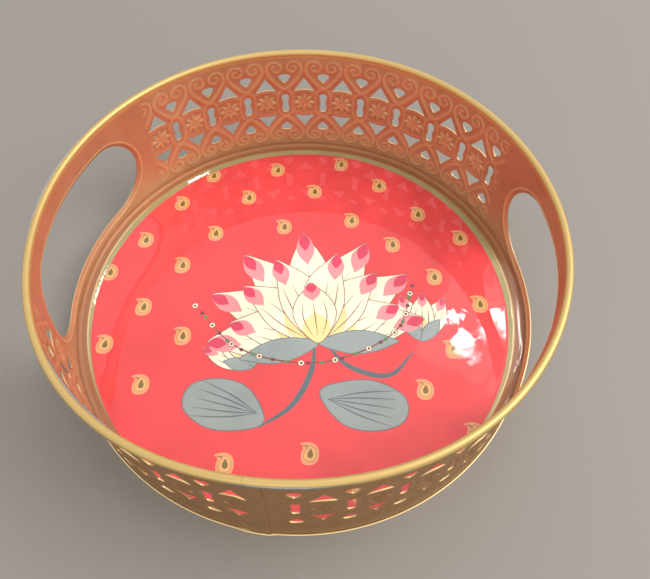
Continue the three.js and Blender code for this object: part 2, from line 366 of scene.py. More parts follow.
def frieze_height(x, y):
    """Relief of the frieze in millimetres, x from a column of holes and y from the pattern's middle."""
    pitch = PITCH / MM
    across = np.abs((x + pitch / 2) % pitch - pitch / 2)
    up = np.abs(y)
    height = strand_height(across, up, HEART, 2.3, 1.1, 0.36)
    height = np.maximum(height, strand_height(across, up, SIDE, 1.6, 1.0, 0.25))
    height = np.maximum(height, strand_height(across, up, ARCH, 0.7, 0.7, 0.25))
    # the flower: eight petals round a button
    fx = across - pitch / 2
    reach = np.hypot(fx, up)
    angle = np.arctan2(up, fx)
    lean = (angle + math.pi / 8) % (math.pi / 4) - math.pi / 8
    out = reach * np.cos(lean) - PETAL_MIDDLE
    side = reach * np.sin(lean)
    petals = 1 - (out / PETAL_HALF_LENGTH) ** 2 - (side / PETAL_HALF_WIDTH) ** 2
    button = 1 - (reach / BUTTON_RADIUS) ** 2
    for dome in (petals, button):
        height = np.maximum(height, FLOWER_HEIGHT * np.sqrt(np.clip(dome, 0, 1)))
    # the floor round the flower is pressed back, which leaves the petals standing
    dish = soft_step((DISH_RADIUS - reach) / 0.8) * (petals <= 0) * (button <= 0)
    return height - DISH_DEPTH * dish


def slot_distance(x, y):
    """Distance outside a hand slot's edge, in millimetres."""
    return np.hypot(np.clip(np.abs(x) - SLOT_STRAIGHT, 0, None), y) - SLOT_END


FRIEZE_REACH = 32 * MM  # above and below the pattern's middle
FRIEZE_END = 9 * MM  # past a run's first and last step, where the relief has faded out
FRIEZE_FADE = 3 * MM
FLARE = 1.0  # mm, how far a slot's edge leans out
FLARE_WIDTH = 2.4
RIDGE = 0.3  # mm, height of the fold round a slot
RIDGE_PLACE = 2.8  # mm from the slot's edge
CREASE_PLACE = 786.6  # mm along the strip
CREASE_LEVELS = (61.0, 37.7, 20.3)  # mm above the table
BELLY_FOOT = 11 * MM


def pressed(places):
    """Moves the flat strip's points along its normal: the relief stands in, the slots' edges lean out."""
    x, y, z = places.T
    lift = np.zeros_like(x)
    for start, first_is_column, steps in RUNS:
        end = start + steps * HALF
        near = (x > start - HALF) & (x < end + HALF) & (np.abs(y - PATTERN_MIDDLE) < FRIEZE_REACH)
        column = start if first_is_column else start + HALF
        local = (x[near] - column) / MM
        up = (y[near] - PATTERN_MIDDLE) / MM
        fade_in = soft_step((x[near] - start + FRIEZE_END) / FRIEZE_FADE)
        fade_out = soft_step((end + FRIEZE_END - x[near]) / FRIEZE_FADE)
        lift[near] -= frieze_height(local, up) * (fade_in * fade_out)
    # the raised lines get a lighter tone: partly wear, partly a painted highlight where they catch the light
    wear_and_highlight = 0.5 * soft_step((-lift - 0.12) / 0.12)
    for middle in SLOTS:
        near = np.abs(x - middle) < 75 * MM
        away = slot_distance((x[near] - middle) / MM, (y[near] - SLOT_MIDDLE) / MM)
        flare = FLARE * np.clip((FLARE_WIDTH - away) / FLARE_WIDTH, 0, 1)
        ridge = RIDGE * soft_step((0.8 - np.abs(away - RIDGE_PLACE)) / 0.6)
        lift[near] += flare - ridge
        # the fold round the slot gets the lighter tone too: partly wear, partly a painted highlight on the
        # fold
        wear_and_highlight[near] = np.maximum(wear_and_highlight[near], soft_step((0.7 - np.abs(away - 2.7)) / 0.4))
    # creases where a column of holes was marked near the outer end and not struck through
    for level in CREASE_LEVELS:
        crease = 1 - ((x / MM - CREASE_PLACE) / 2.0) ** 2 - ((y / MM - level) / 0.75) ** 2
        lift += 0.45 * np.sqrt(np.clip(crease, 0, 1))
    # the sheet is not a perfect cylinder between the filled floor and its stiff rim
    belly = np.sin(np.clip((y - BELLY_FOOT) / (WALL_TOP - BELLY_FOOT), 0, 1) * math.pi)
    turn = x / WALL_OUTER
    swell = 0.13 * np.sin(9 * turn + 0.6) + 0.09 * np.sin(16 * turn + 2.0) + 0.05 * np.sin(31 * turn)
    lift += belly * swell
    # the outer end steps over the inner one
    step = soft_step((x - ONCE_ROUND + JOGGLE_PLACE) / JOGGLE)
    places[:, 2] = z + lift * MM * (1 - 0.5 * step) + step * LAP_STEP
    lap = step > 0.02
    places[lap, 1] = np.minimum(places[lap, 1], WALL_TOP - 0.1 * MM * step[lap])
    return places, wear_and_highlight


# How far the rim departs from its circle: a mean, then cosine and sine of 1 to 6 turns, in millimetres
RIM_MEAN = -0.45
RIM_WAVES = [(0.46, -0.45), (-0.25, 0.19), (0.53, -0.61), (-0.5, -0.35), (0.02, 0.26), (0.13, 0.01)]


def out_of_round(turn, height):
    """How far the wall has been pushed out of round at an azimuth: nothing at its foot, most at its rim."""
    waves = (c * np.cos(k * turn) + s * np.sin(k * turn) for k, (c, s) in enumerate(RIM_WAVES, 1))
    swing = RIM_MEAN + sum(waves)
    return swing * MM * np.clip(height / TRAY_HEIGHT, 0, 1) ** 1.5


def rolled(places):
    """Rolls the strip up: x goes round, y goes up and z goes out."""
    x, y, z = places.T
    turn = INNER_END + x / WALL_OUTER
    radius = WALL_INNER + z + out_of_round(turn, y)
    return np.column_stack([radius * np.cos(turn), radius * np.sin(turn), y])


CELL_WIDTH = 0.64  # mm, of the net of points that takes the relief
CELL_HEIGHT = 0.62
CELL_CLEAR = 0.3  # mm, kept free along the strip's end and round each hole
END_POINTS = 40  # on each end of the strip
FACES_KEPT = 0.27  # share of the pressed strip's faces that are kept


def wall_sheet():
    length = (ONCE_ROUND + (OUTER_END - INNER_END) * WALL_OUTER) / MM
    foot, top = WALL_FOOT / MM, WALL_TOP / MM
    columns = round(length / CELL_WIDTH)
    rows = round((top - foot) / CELL_HEIGHT)
    along_strip = np.linspace(0, length, columns + 1)
    rim = [(x, foot) for x in along_strip[:-1:2]]
    rim += [(length, y) for y in np.linspace(foot, top, END_POINTS)[:-1]]
    rim += [(x, top) for x in along_strip[:0:-2]]
    rim += [(0, y) for y in np.linspace(top, foot, END_POINTS)[:-1]]
    holes = hole_outlines()
    # points of the sheet on rows that are set off from each other by half a cell
    spread = []
    for row in range(1, rows):
        shift = CELL_WIDTH / 2 if row % 2 else 0
        y = foot + (top - foot) * row / rows
        spread.append(np.column_stack([along_strip[1:-1] + shift, np.full(columns - 1, y)]))
    spread = np.concatenate(spread)
    spread = spread[spread[:, 0] < length - CELL_CLEAR]
    for hole in holes:
        spread = spread[away_from(spread, hole, CELL_CLEAR) & ~inside(spread, hole)]
    places, faces, middles = triangulated(rim, holes, spread)
    pierced = np.zeros(len(faces), bool)
    for hole in holes:
        pierced |= inside(middles, hole)
    flat = np.column_stack([places * MM, np.zeros(len(places))])
    shaped, wear_and_highlight = pressed(flat)
    strip = sheet_from("wall_sheet", rolled(shaped), faces[~pierced])
    # the mask of the lighter tone: partly wear, partly painted highlight on the raised lines and slot folds
    strip.data.attributes.new("wear_and_highlight", "FLOAT", "POINT").data.foreach_set("value", wear_and_highlight)
    with_modifier(strip, "DECIMATE", ratio=FACES_KEPT)
    with_modifier(strip, "SOLIDIFY", thickness=SHEET, offset=1.0)
    return strip


def curled_bead():
    """The top edge of the sheet, curled out over the wire, with its two ends meeting over the lap."""
    centre = (BEAD_CENTRE_RADIUS, BEAD_CENTRE_HEIGHT)
    bore = BEAD_RADIUS - SHEET
    inner = 180 + math.degrees(math.acos((BEAD_CENTRE_RADIUS - WALL_INNER) / BEAD_RADIUS))
    outer = 180 + math.degrees(math.acos((BEAD_CENTRE_RADIUS - WALL_OUTER) / bore))
    profile = [
        (WALL_INNER, WALL_TOP),
        *arc(centre, BEAD_RADIUS, inner, CURL_END, 28),
        *arc(centre, bore, CURL_END, outer, 14),
        (WALL_OUTER, WALL_TOP),
    ]
    sweep = 2 * math.pi - BEAD_JOINT / RIM_RADIUS
    bead = turned("curled_bead", profile, 360, closed=True, start=INNER_END, sweep=sweep)
    places = places_of(bead)
    x, y, z = places.T
    radius = np.hypot(x, y)
    places[:, :2] *= (1 + out_of_round(np.arctan2(y, x), z) / radius)[:, None]
    move_to(bead, places)
    return bead


def bottom_sheet():
    """The round bottom sheet, its edge folded up round the foot of the wall."""
    halfway = 60 * MM
    shoulder = HEM_HEIGHT - 0.12 * MM
    profile = [
        (0, 0), (halfway, 0), (HEM_OUTER - 0.9 * MM, 0), (HEM_OUTER - 0.45 * MM, 0.08 * MM),
        (HEM_OUTER - 0.12 * MM, 0.32 * MM), (HEM_OUTER, 0.7 * MM), (HEM_OUTER, shoulder),
        (HEM_OUTER - 0.15 * MM, HEM_HEIGHT), (HEM_INNER + 0.15 * MM, HEM_HEIGHT), (HEM_INNER, shoulder),
        (HEM_INNER, 0.9 * MM), (HEM_INNER - 0.25 * MM, SHEET), (halfway, SHEET), (0, SHEET)]
    sheet = turned("bottom_sheet", profile, 360)
    # the hem bulges over the lap and steps in again at the strip's outer end
    places = places_of(sheet)
    x, y, z = places.T
    radius = np.hypot(x, y)
    turn = (np.arctan2(y, x) - OUTER_END + math.pi) % (2 * math.pi) - math.pi
    bulge = soft_step((turn + 0.16) / 0.09) * soft_step((0.02 - turn) / 0.02)
    bulge *= soft_step((radius - 123 * MM) / (1.5 * MM))
    places[:, :2] *= (1 + bulge * LAP_STEP / np.maximum(radius, MM))[:, None]
    move_to(sheet, places)
    return sheet


def corner_fill(clearance=0.0):
    """Arc of the filler in the corner between the board and the wall, from the wall down to the board."""
    edge = BOARD_EDGE - clearance
    top = BOARD_TOP + clearance
    return arc((edge - FILLER, top + FILLER), FILLER, 0, -90, 10)


def board():
    bevel = 0.3 * MM
    profile = [
        (0, SHEET), (BOARD_EDGE - bevel, SHEET), (BOARD_EDGE, SHEET + bevel), *corner_fill(), (0, BOARD_TOP)]
    return turned("fibreboard", profile)


def clear_coat():
    """Poured resin: its top is a little wavy, runs up over the print's edge and climbs the wall."""
    edge = BOARD_EDGE - RESIN_CLEARANCE
    finer = 106 * MM  # rings lie closer together from here outwards
    reach = np.concatenate([np.linspace(edge, finer, 60), np.linspace(finer, 0, 40)[1:]])
    climb = 0.4 * MM * np.exp((reach - edge) / (1.6 * MM))
    top = list(zip(reach, RESIN_TOP + climb))
    low = PRINT_TOP + RESIN_CLEARANCE
    past_print = 121.2 * MM
    # the underside follows the filler up to here and runs straight to the top's edge from there
    still = 8.6 * MM
    fill = [place for place in corner_fill(RESIN_CLEARANCE)[::-1] if place[1] < still]
    profile = [(0, low), (past_print, low), *fill, *top]
    coat = turned("clear_coat", profile, 320)
    places = places_of(coat)
    x, y, z = places.T / MM
    radius = np.hypot(x, y)
    # waves of the pour, 9 to 48 mm long
    wave = (
        0.05 * np.sin(0.11 * x + 0.07 * y + 0.5) + 0.04 * np.sin(-0.09 * x + 0.17 * y + 2.1)
        + 0.03 * np.sin(0.23 * x - 0.12 * y + 1.2) + 0.02 * np.sin(0.31 * x + 0.27 * y)
        + 0.012 * np.sin(0.55 * x - 0.42 * y + 0.9))
    turn = np.arctan2(y, x)
    wave *= 0.25 * soft_step((122 - radius) / 6)
    # the resin climbed the wall unevenly
    creep = (0.2 * np.sin(7 * turn + 1) + 0.15 * np.sin(17 * turn)) * soft_step((radius - 121.5) / 2.4)
    # slope of the top against the distance from the print's edge: 1 degree before it, 22 degrees on it
    past = np.linspace(-8, 3, 221)
    slope = 0.02 * soft_step((past + 7.5) / 6) + 0.39 * soft_step((past + 1.6) / 1.0)
    slope *= 1 - soft_step((past - 0.8) / 1.2)
    rise = np.interp(radius - print_reach(turn), past, np.cumsum(slope) * (past[1] - past[0]))
    places[:, 2] += (wave + creep + rise) * MM * (z > still / MM)
    move_to(coat, places)
    return coat


# Printed floor
PRINT_TURN = math.radians(15.5)  # of the print in the tray
(GROUND, FRINGE, RING, BODY, SEED, STROKE, IVORY, SHADE, BLUSH, ROSE, LEAF, LEAF_LINE,
 MAROON, GREEN) = range(14)
INKS = {
    GROUND: "#f2434c", FRINGE: "#f9a67a", RING: "#cc9a62", BODY: "#f0b87c", SEED: "#836a30",
    STROKE: "#8a4a34", IVORY: "#fbf8e2", SHADE: "#f8e2a6", BLUSH: "#f59aa6", ROSE: "#e03a63",
    LEAF: "#9ba8ac", LEAF_LINE: "#5d6d77", MAROON: "#7c2a3a", GREEN: "#5f8a5a",
}


def grown(outline, by):
    """The outline moved outwards by a distance."""
    ahead = np.roll(outline, -1, 0) - np.roll(outline, 1, 0)
    normal = np.column_stack([ahead[:, 1], -ahead[:, 0]])
    normal /= np.maximum(np.linalg.norm(normal, axis=1), 1e-9)[:, None]
    x, y = outline.T
    turns_left = (x * np.roll(y, -1) - np.roll(x, -1) * y).sum() > 0
    return outline + normal * (by if turns_left else -by)


def placed(outline, at, turn):
    c, s = math.cos(turn), math.sin(turn)
    return np.array(outline) @ np.array([[c, s], [-s, c]]) + np.array(at)


PAISLEY_FRINGE = closed_curve([
    (-5.1, 4.6), (-3.4, 5.3), (-1.0, 5.6), (1.9, 4.9), (3.9, 2.9), (4.6, 0), (4.2, -3.2), (2.3, -5.4),
    (-0.4, -6.0), (-2.9, -5.3), (-4.2, -3.2), (-4.3, -0.6), (-3.7, 1.4), (-3.4, 2.7), (-4.2, 3.8)])
PAISLEY_BODY = closed_curve([
    (-2.0, 3.1), (-0.2, 3.6), (1.6, 3.0), (2.8, 1.5), (3.1, -0.5), (2.6, -2.6), (1.1, -3.8), (-0.8, -3.8),
    (-2.3, -2.8), (-2.8, -1.1), (-2.4, 0.5), (-1.7, 1.6), (-1.8, 2.4)])
PAISLEY_SEED = closed_curve([
    (0.5, 2.4), (1.2, 1.0), (1.7, -0.5), (1.4, -1.9), (0.3, -2.5), (-0.8, -1.9), (-1.1, -0.5), (-0.5, 1.0)])


def petal(at, turn, length, width, hook=0.0):
    """A pointed petal standing on a point, turned from upright."""
    half = width / 2
    outline = closed_curve([
        (0, 0), (half * 0.62, length * 0.18), (half, length * 0.45), (half * 0.82, length * 0.7),
        (half * 0.3 + hook * 0.6, length * 0.91), (hook, length), (-half * 0.3 + hook * 0.6, length * 0.9),
        (-half * 0.82, length * 0.7), (-half, length * 0.45), (-half * 0.62, length * 0.18)], 4)
    return placed(outline, at, turn)


def streak(points, width):
    """A drawn line that swells in its middle."""
    curve = smooth_curve(points, 5)
    ahead = np.gradient(curve, axis=0)
    ahead /= np.linalg.norm(ahead, axis=1)[:, None]
    side = np.column_stack([-ahead[:, 1], ahead[:, 0]])
    swell = (0.25 + np.sin(np.linspace(0, math.pi, len(curve))))[:, None] * width / 2
    return np.concatenate([curve + side * swell, (curve - side * swell)[::-1]])


def bead_dot(at, radius, sides=10):
    angles = np.arange(sides) * 2 * math.pi / sides
    return np.column_stack([at[0] + radius * np.cos(angles), at[1] + radius * np.sin(angles)])


def drawn_petal(at, turn, length, width, hook=0.0):
    """A petal with outline, shading, blushed tip and veins, as (ink, outline) pairs from back to front."""
    def spot(x, y):
        return placed([(x, y)], at, turn)[0]
    shape = petal(at, turn, length, width, hook)
    parts = [(STROKE, grown(shape, 0.45)), (IVORY, shape)]
    parts.append((SHADE, petal(at, turn, length * 0.5, width * 0.66)))
    point = placed(-petal((0, 0), 0, length * 0.3, width * 0.42) + np.array([hook, length - 0.3]), at, turn)
    parts.append((BLUSH, point))
    short = placed(-petal((0, 0), 0, length * 0.17, width * 0.26) + np.array([hook, length - 0.2]), at, turn)
    parts.append((ROSE, short))
    for lean in (-0.5, 0.0, 0.5):
        line = [spot(lean * width * 0.22, length * 0.1), spot(lean * width * 0.55, length * 0.4),
                spot(lean * width * 0.5 + hook * 0.3, length * 0.68)]
        parts.append((STROKE, streak(line, 0.45)))
    return parts


def lotus(at, size):
    """A lotus in bloom from the side: petals fan out from its foot, the outer ones first."""
    parts = []
    back = [(-78, 0.86), (78, 0.86), (-52, 0.97), (52, 0.97), (-26, 1.04), (26, 1.04), (0, 1.08)]
    front = [(-64, 0.72), (64, 0.72), (-38, 0.8), (38, 0.8), (-13, 0.86), (13, 0.86)]
    for group, width in ((back, 0.36), (front, 0.33)):
        for lean, share in group:
            hook = 0.07 * size * (lean > 0) - 0.07 * size * (lean < 0)
            parts += drawn_petal(at, -math.radians(lean), size * share, size * width, hook)
    for lean in (-96, 96):
        shape = petal(at, -math.radians(lean), size * 0.62, size * 0.2)
        parts += [(LEAF_LINE, grown(shape, 0.45)), (LEAF, shape)]
    parts += drawn_petal(at, 0, size * 0.56, size * 0.34)
    return parts


def bud(at, turn, size):
    parts = []
    for lean in (-24, 24, 0):
        parts += drawn_petal(at, turn - math.radians(lean), size, size * 0.42)
    for lean in (-34, 34):
        shape = petal(at, turn - math.radians(lean), size * 0.55, size * 0.24)
        parts += [(LEAF_LINE, grown(shape, 0.4)), (LEAF, shape)]
    return parts


def pad(at, turn, length, width):
    """A round lotus leaf seen aslant, with a notch and veins."""
    outline = closed_curve([
        (0, 0.12), (0.28, 0.42), (0.62, 0.5), (0.92, 0.3), (1.0, 0.0), (0.92, -0.3), (0.62, -0.5),
        (0.28, -0.42)])
    shape = placed(outline * np.array([length, width]), at, turn)
    parts = [(LEAF_LINE, grown(shape, 0.5)), (LEAF, shape)]
    for share in (-0.62, -0.32, 0, 0.32, 0.62):
        out = share * width
        vein = [(length * 0.1, 0), (length * 0.45, out * 0.36), (length * 0.86, out * 0.6)]
        parts.append((LEAF_LINE, streak(placed(vein, at, turn), 0.6)))
    return parts


def garland(points, count):
    """Beads on a cord, maroon and green between larger ones."""
    curve = smooth_curve(points, 12)
    parts = [(STROKE, streak(points, 0.8))]
    for k in range(count):
        place = curve[round(k * (len(curve) - 1) / (count - 1))]
        if k % 3 == 0:
            parts += [(STROKE, bead_dot(place, 1.9, 12)), (IVORY, bead_dot(place, 1.5, 12))]
            parts.append((MAROON, bead_dot(place, 0.8)))
        else:
            parts.append((MAROON if k % 3 == 1 else GREEN, bead_dot(place, 1.15)))
    return parts


def picture():
    """The floor's design in the print's own frame, in millimetres, from back to front."""
    parts = [
        (LEAF_LINE, streak([(4, -26), (0, -44), (-12, -62), (-30, -72)], 2.6)),
        (LEAF_LINE, streak([(8, -26), (20, -44), (40, -52), (56, -40)], 2.4))]
    parts += pad((-26, -66), math.radians(158), 44, 27)
    parts += pad((2, -60), math.radians(-16), 46, 27)
    parts += bud((-30, -38), math.radians(38), 30)
    parts += bud((62, -34), math.radians(-12), 31)
    parts += lotus((6, -28), 70)
    parts += garland([(-60, 4), (-36, -27), (6, -40), (48, -27), (64, 2)], 29)
    return parts


# The rows of paisleys in the print's own frame, in millimetres
PAISLEY_START = np.array([-24.8, 80.8])
PAISLEY_COLUMN = np.array([41.7, -0.1])
PAISLEY_ROW = np.array([-0.2, -23.8])
PAISLEY_DROP = np.array([20.0, -2.5])
PAISLEY_ROOM = 7.5


def paisleys(design):
    """Half drop rows of paisleys, left out where the design is in the way or less than half would show."""
    taken = np.vstack([outline for _, outline in design])
    layers = [
        (FRINGE, PAISLEY_FRINGE), (RING, grown(PAISLEY_BODY, 0.55)), (BODY, PAISLEY_BODY),
        (SEED, PAISLEY_SEED)]
    parts = []
    for row in range(-2, 9):
        for column in range(-5, 6):
            at = PAISLEY_START + column * PAISLEY_COLUMN + row * PAISLEY_ROW
            if row % 2:
                at += PAISLEY_DROP
            past_edge = math.hypot(*at) > print_reach(math.atan2(at[1], at[0]) + PRINT_TURN)
            if past_edge or np.hypot(*(taken - at).T).min() < PAISLEY_ROOM:
                continue
            lean = math.radians(4 * math.sin(2.3 * row + 1.7 * column) - 8)
            for ink, outline in layers:
                parts.append((ink, placed(outline, at, lean)))
            hook = [(-4.4, 3.8), (-2.6, 3.9), (-1.1, 3.0), (-1.4, 1.9)]
            parts.append((STROKE, placed(streak(hook, 0.42), at, lean)))
    return parts


PRINT_RADIUS = 116.7  # mm
PRINT_SHIFT = 3.1  # mm towards the front
PRINT_OVAL = 1.2  # mm, how much longer than its mean the print reaches at the front and the back


def print_reach(turn):
    """How far the print reaches in millimetres: cut by hand, it is a little oval and off the middle."""
    return PRINT_RADIUS - PRINT_SHIFT * np.sin(turn) - PRINT_OVAL * np.cos(2 * turn)


def print_sheet():
    """The sheet's face is divided along the edges of its inks, each face keeping its ink's colour."""
    around = np.linspace(0, 2 * math.pi, 257)[:-1]
    rim = np.column_stack([np.cos(around), np.sin(around)]) * print_reach(around + PRINT_TURN)[:, None]
    shapes = []
    design = picture()
    for ink, outline in paisleys(design) + design:
        limit = print_reach(np.arctan2(outline[:, 1], outline[:, 0]) + PRINT_TURN) - 0.2
        shapes.append((ink, outline * np.minimum(1, limit / np.maximum(np.hypot(*outline.T), 1))[:, None]))
    cell = 9
    spread = [
        (r * math.cos(a), r * math.sin(a)) for r in range(12, 112, cell)
        for a in np.arange(0, 2 * math.pi, cell / r)]
    places, faces, middles = triangulated(rim, [outline for _, outline in shapes], spread)
    inks = np.full(len(faces), GROUND)
    for ink, outline in shapes:
        inks[inside(middles, outline)] = ink
    c, s = math.cos(PRINT_TURN), math.sin(PRINT_TURN)
    places = np.column_stack([places @ np.array([[c, s], [-s, c]]) * MM, np.full(len(places), PRINT_TOP)])
    sheet = sheet_from("printed_paper", places, faces)
    colours = np.array([[*linear(INKS[ink]), 1.0] for ink in range(len(INKS))])[inks]
    sheet.data.attributes.new("ink", "FLOAT_COLOR", "FACE").data.foreach_set("color", colours.ravel())
    edit(sheet)
    bpy.ops.mesh.select_all(action="SELECT")
    bpy.ops.mesh.extrude_region_move(TRANSFORM_OT_translate={"value": (0, 0, BOARD_TOP - PRINT_TOP)})
    bpy.ops.mesh.select_all(action="SELECT")
    bpy.ops.mesh.normals_make_consistent(inside=False)
    bpy.ops.object.mode_set(mode="OBJECT")
    return sheet


# Finishes
def linear(hex_colour):
    """sRGB hex to linear."""
    values = [int(hex_colour[i:i + 2], 16) / 255 for i in (1, 3, 5)]
    return [v / 12.92 if v <= 0.04045 else ((v + 0.055) / 1.055) ** 2.4 for v in values]


def node(tree, kind, links=None, **settings):
    """Adds a node: settings are properties or socket values, links name the sockets that feed its own."""
    made = tree.nodes.new("ShaderNode" + kind)
    for key, value in settings.items():
        if hasattr(made, key):
            setattr(made, key, value)
        else:
            made.inputs[key].default_value = value
    for key, source in (links or {}).items():
        tree.links.new(source, made.inputs[key])
    return made


def new_finish(name):
    material = bpy.data.materials.new(name)
    material.use_nodes = True
    material.node_tree.nodes.clear()
    return material, material.node_tree


def blend_colour(tree, factor, first, second):
    mix = node(tree, "Mix", data_type="RGBA")
    tree.links.new(factor, mix.inputs[0])
    for socket, value in ((mix.inputs[6], first), (mix.inputs[7], second)):
        if isinstance(value, str):
            socket.default_value = [*linear(value), 1]
        else:
            tree.links.new(value, socket)
    return mix.outputs[2]


def ranged(tree, source, low, high, to_low, to_high):
    made = node(tree, "MapRange", {"Value": source})
    for key, value in (("From Min", low), ("From Max", high), ("To Min", to_low), ("To Max", to_high)):
        made.inputs[key].default_value = value
    return made.outputs[0]


def surface(tree, links, **values):
    shader = node(tree, "BsdfPrincipled", links)
    for key, value in values.items():
        shader.inputs[key.replace("_", " ")].default_value = value
    node(tree, "OutputMaterial", {"Surface": shader.outputs[0]})


def gold_paint(name, light, dark, wear_and_highlight, lit_rim_tone, outside_painted_light, metallic, roughness):
    """Metallic gold paint sprayed on steel: fine flake, a soft orange peel and slightly uneven cover."""
    material, tree = new_finish(name)
    spot = node(tree, "TexCoord")
    place = spot.outputs["Object"]
    # cover drifts over 25 mm
    cover = node(tree, "TexNoise", {"Vector": place}, Scale=40.0, Detail=3.0)
    # flake is 0.05 mm on the real tray, drawn at 0.4 mm so that it shows
    flake = node(tree, "TexNoise", {"Vector": place}, Scale=2500.0, Detail=1.0)
    # orange peel about 1.5 mm across
    peel = node(tree, "TexNoise", {"Vector": place}, Scale=650.0, Detail=2.0)
    tone = blend_colour(tree, ranged(tree, cover.outputs[0], 0.35, 0.65, 0, 1), dark, light)
    # painted light: the paint is toned lighter towards the foot of the wall, standing in for light that the
    # tray's own shade keeps off there
    height = node(tree, "SeparateXYZ", {"Vector": place})
    tone = blend_colour(tree, ranged(tree, height.outputs["Z"], 0.012, 0.045, 0.7, 0), tone, "#d4a680")
    # the raised lines and the fold round each slot are toned a lighter gold: partly wear, partly a painted
    # highlight where they catch the light
    lines = node(tree, "Attribute", attribute_name="wear_and_highlight").outputs["Fac"]
    tone = blend_colour(tree, lines, tone, wear_and_highlight)
    # the outside got the thinner, browner coat of paint
    # the outward faces take their own tone, which is painted light: a darker painted shade on the outside of
    # the wall, a lighter painted highlight on the base's hem
    facing = node(tree, "VectorMath", {0: spot.outputs["Normal"], 1: place}, operation="DOT_PRODUCT")
    tone = blend_colour(tree, ranged(tree, facing.outputs["Value"], 0.0, 0.02, 0, 1), tone, outside_painted_light)
    # painted highlight: the nearly level faces, such as the cut edges of the holes, and the curled rim above
    # 76.5 mm are toned lighter, as if lit
    slant = node(tree, "SeparateXYZ", {"Vector": spot.outputs["Normal"]})
    upward = node(tree, "Math", {0: slant.outputs["Z"]}, operation="ABSOLUTE")
    tone = blend_colour(tree, ranged(tree, upward.outputs[0], 0.6, 0.7, 0, 1), tone, wear_and_highlight)
    tone = blend_colour(tree, ranged(tree, height.outputs["Z"], 0.0765, 0.0775, 0, 1), tone, lit_rim_tone)
    rough = ranged(tree, flake.outputs[0], 0.3, 0.7, roughness - 0.05, roughness + 0.06)
    bump = node(tree, "Bump", {"Height": peel.outputs[0]}, Strength=0.12, Distance=0.00004)
    surface(tree, {"Base Color": tone, "Roughness": rough, "Normal": bump.outputs[0]}, Metallic=metallic)
    return material


def bare_steel():
    """Drawn steel wire: fine lines along it."""
    material, tree = new_finish("drawn_steel_wire")
    place = node(tree, "TexCoord").outputs["Object"]
    grain = node(tree, "TexNoise", {"Vector": place}, Scale=900.0, Detail=2.0)
    tone = blend_colour(tree, grain.outputs[0], "#8d8d8b", "#b3b3b0")
    rough = ranged(tree, grain.outputs[0], 0.3, 0.7, 0.35, 0.5)
    surface(tree, {"Base Color": tone, "Roughness": rough}, Metallic=1.0)
    return material


def painted_board():
    """Fibreboard brushed with olive gold paint, its fibres just showing."""
    material, tree = new_finish("gold_painted_fibreboard")
    place = node(tree, "TexCoord").outputs["Object"]
    cloud = node(tree, "TexNoise", {"Vector": place}, Scale=60.0, Detail=4.0)
    fibre = node(tree, "TexNoise", {"Vector": place}, Scale=1200.0, Detail=3.0)
    tone = blend_colour(tree, ranged(tree, cloud.outputs[0], 0.3, 0.7, 0, 1), "#aea474", "#bcb282")
    flat = node(tree, "VectorMath", {0: place}, operation="MULTIPLY")
    flat.inputs[1].default_value = (1, 1, 0)
    reach = node(tree, "VectorMath", {0: flat.outputs[0]}, operation="LENGTH").outputs["Value"]
    # painted highlight: a light line near the board's edge at both ends, for the light that the coat's climb
    # catches there; then the wall's brown out to the corner
    across = node(tree, "SeparateXYZ", {"Vector": place}).outputs["X"]
    ends = ranged(tree, node(tree, "Math", {0: across}, operation="ABSOLUTE").outputs[0], 0.1, 0.113, 0.1, 1)
    line = node(tree, "Math", {0: ranged(tree, reach, 0.1181, 0.1184, 0, 1), 1: ends}, operation="MULTIPLY")
    tone = blend_colour(tree, line.outputs[0], tone, "#f0d8a4")
    # the wall's brown: partly the wall's paint over the filler, partly a painted reflection of the wall in
    # the coat that climbs it
    tone = blend_colour(tree, ranged(tree, reach, 0.1188, 0.1194, 0, 1), tone, "#ae7650")
    bump = node(tree, "Bump", {"Height": fibre.outputs[0]}, Strength=0.3, Distance=0.00005)
    surface(tree, {"Base Color": tone, "Normal": bump.outputs[0]}, Metallic=0.35, Roughness=0.45)
    return material


def printed_paper():
    """Ink on coated paper: a faint cloudiness in the ground, as under a hand poured coat."""
    material, tree = new_finish("printed_coated_paper")
    ink = node(tree, "Attribute", attribute_name="ink").outputs["Color"]
    place = node(tree, "TexCoord").outputs["Object"]
    # clouds about 26 mm across
    cloud = node(tree, "TexNoise", {"Vector": place}, Scale=38.0, Detail=4.0)
    grain = node(tree, "TexNoise", {"Vector": place}, Scale=1500.0, Detail=2.0)
    shift = node(tree, "HueSaturation", {"Color": ink})
    tree.links.new(ranged(tree, cloud.outputs[0], 0.3, 0.6, 0.88, 1.1), shift.inputs["Value"])
    rough = ranged(tree, grain.outputs[0], 0.3, 0.7, 0.42, 0.56)
    surface(tree, {"Base Color": shift.outputs[0], "Roughness": rough})
    return material


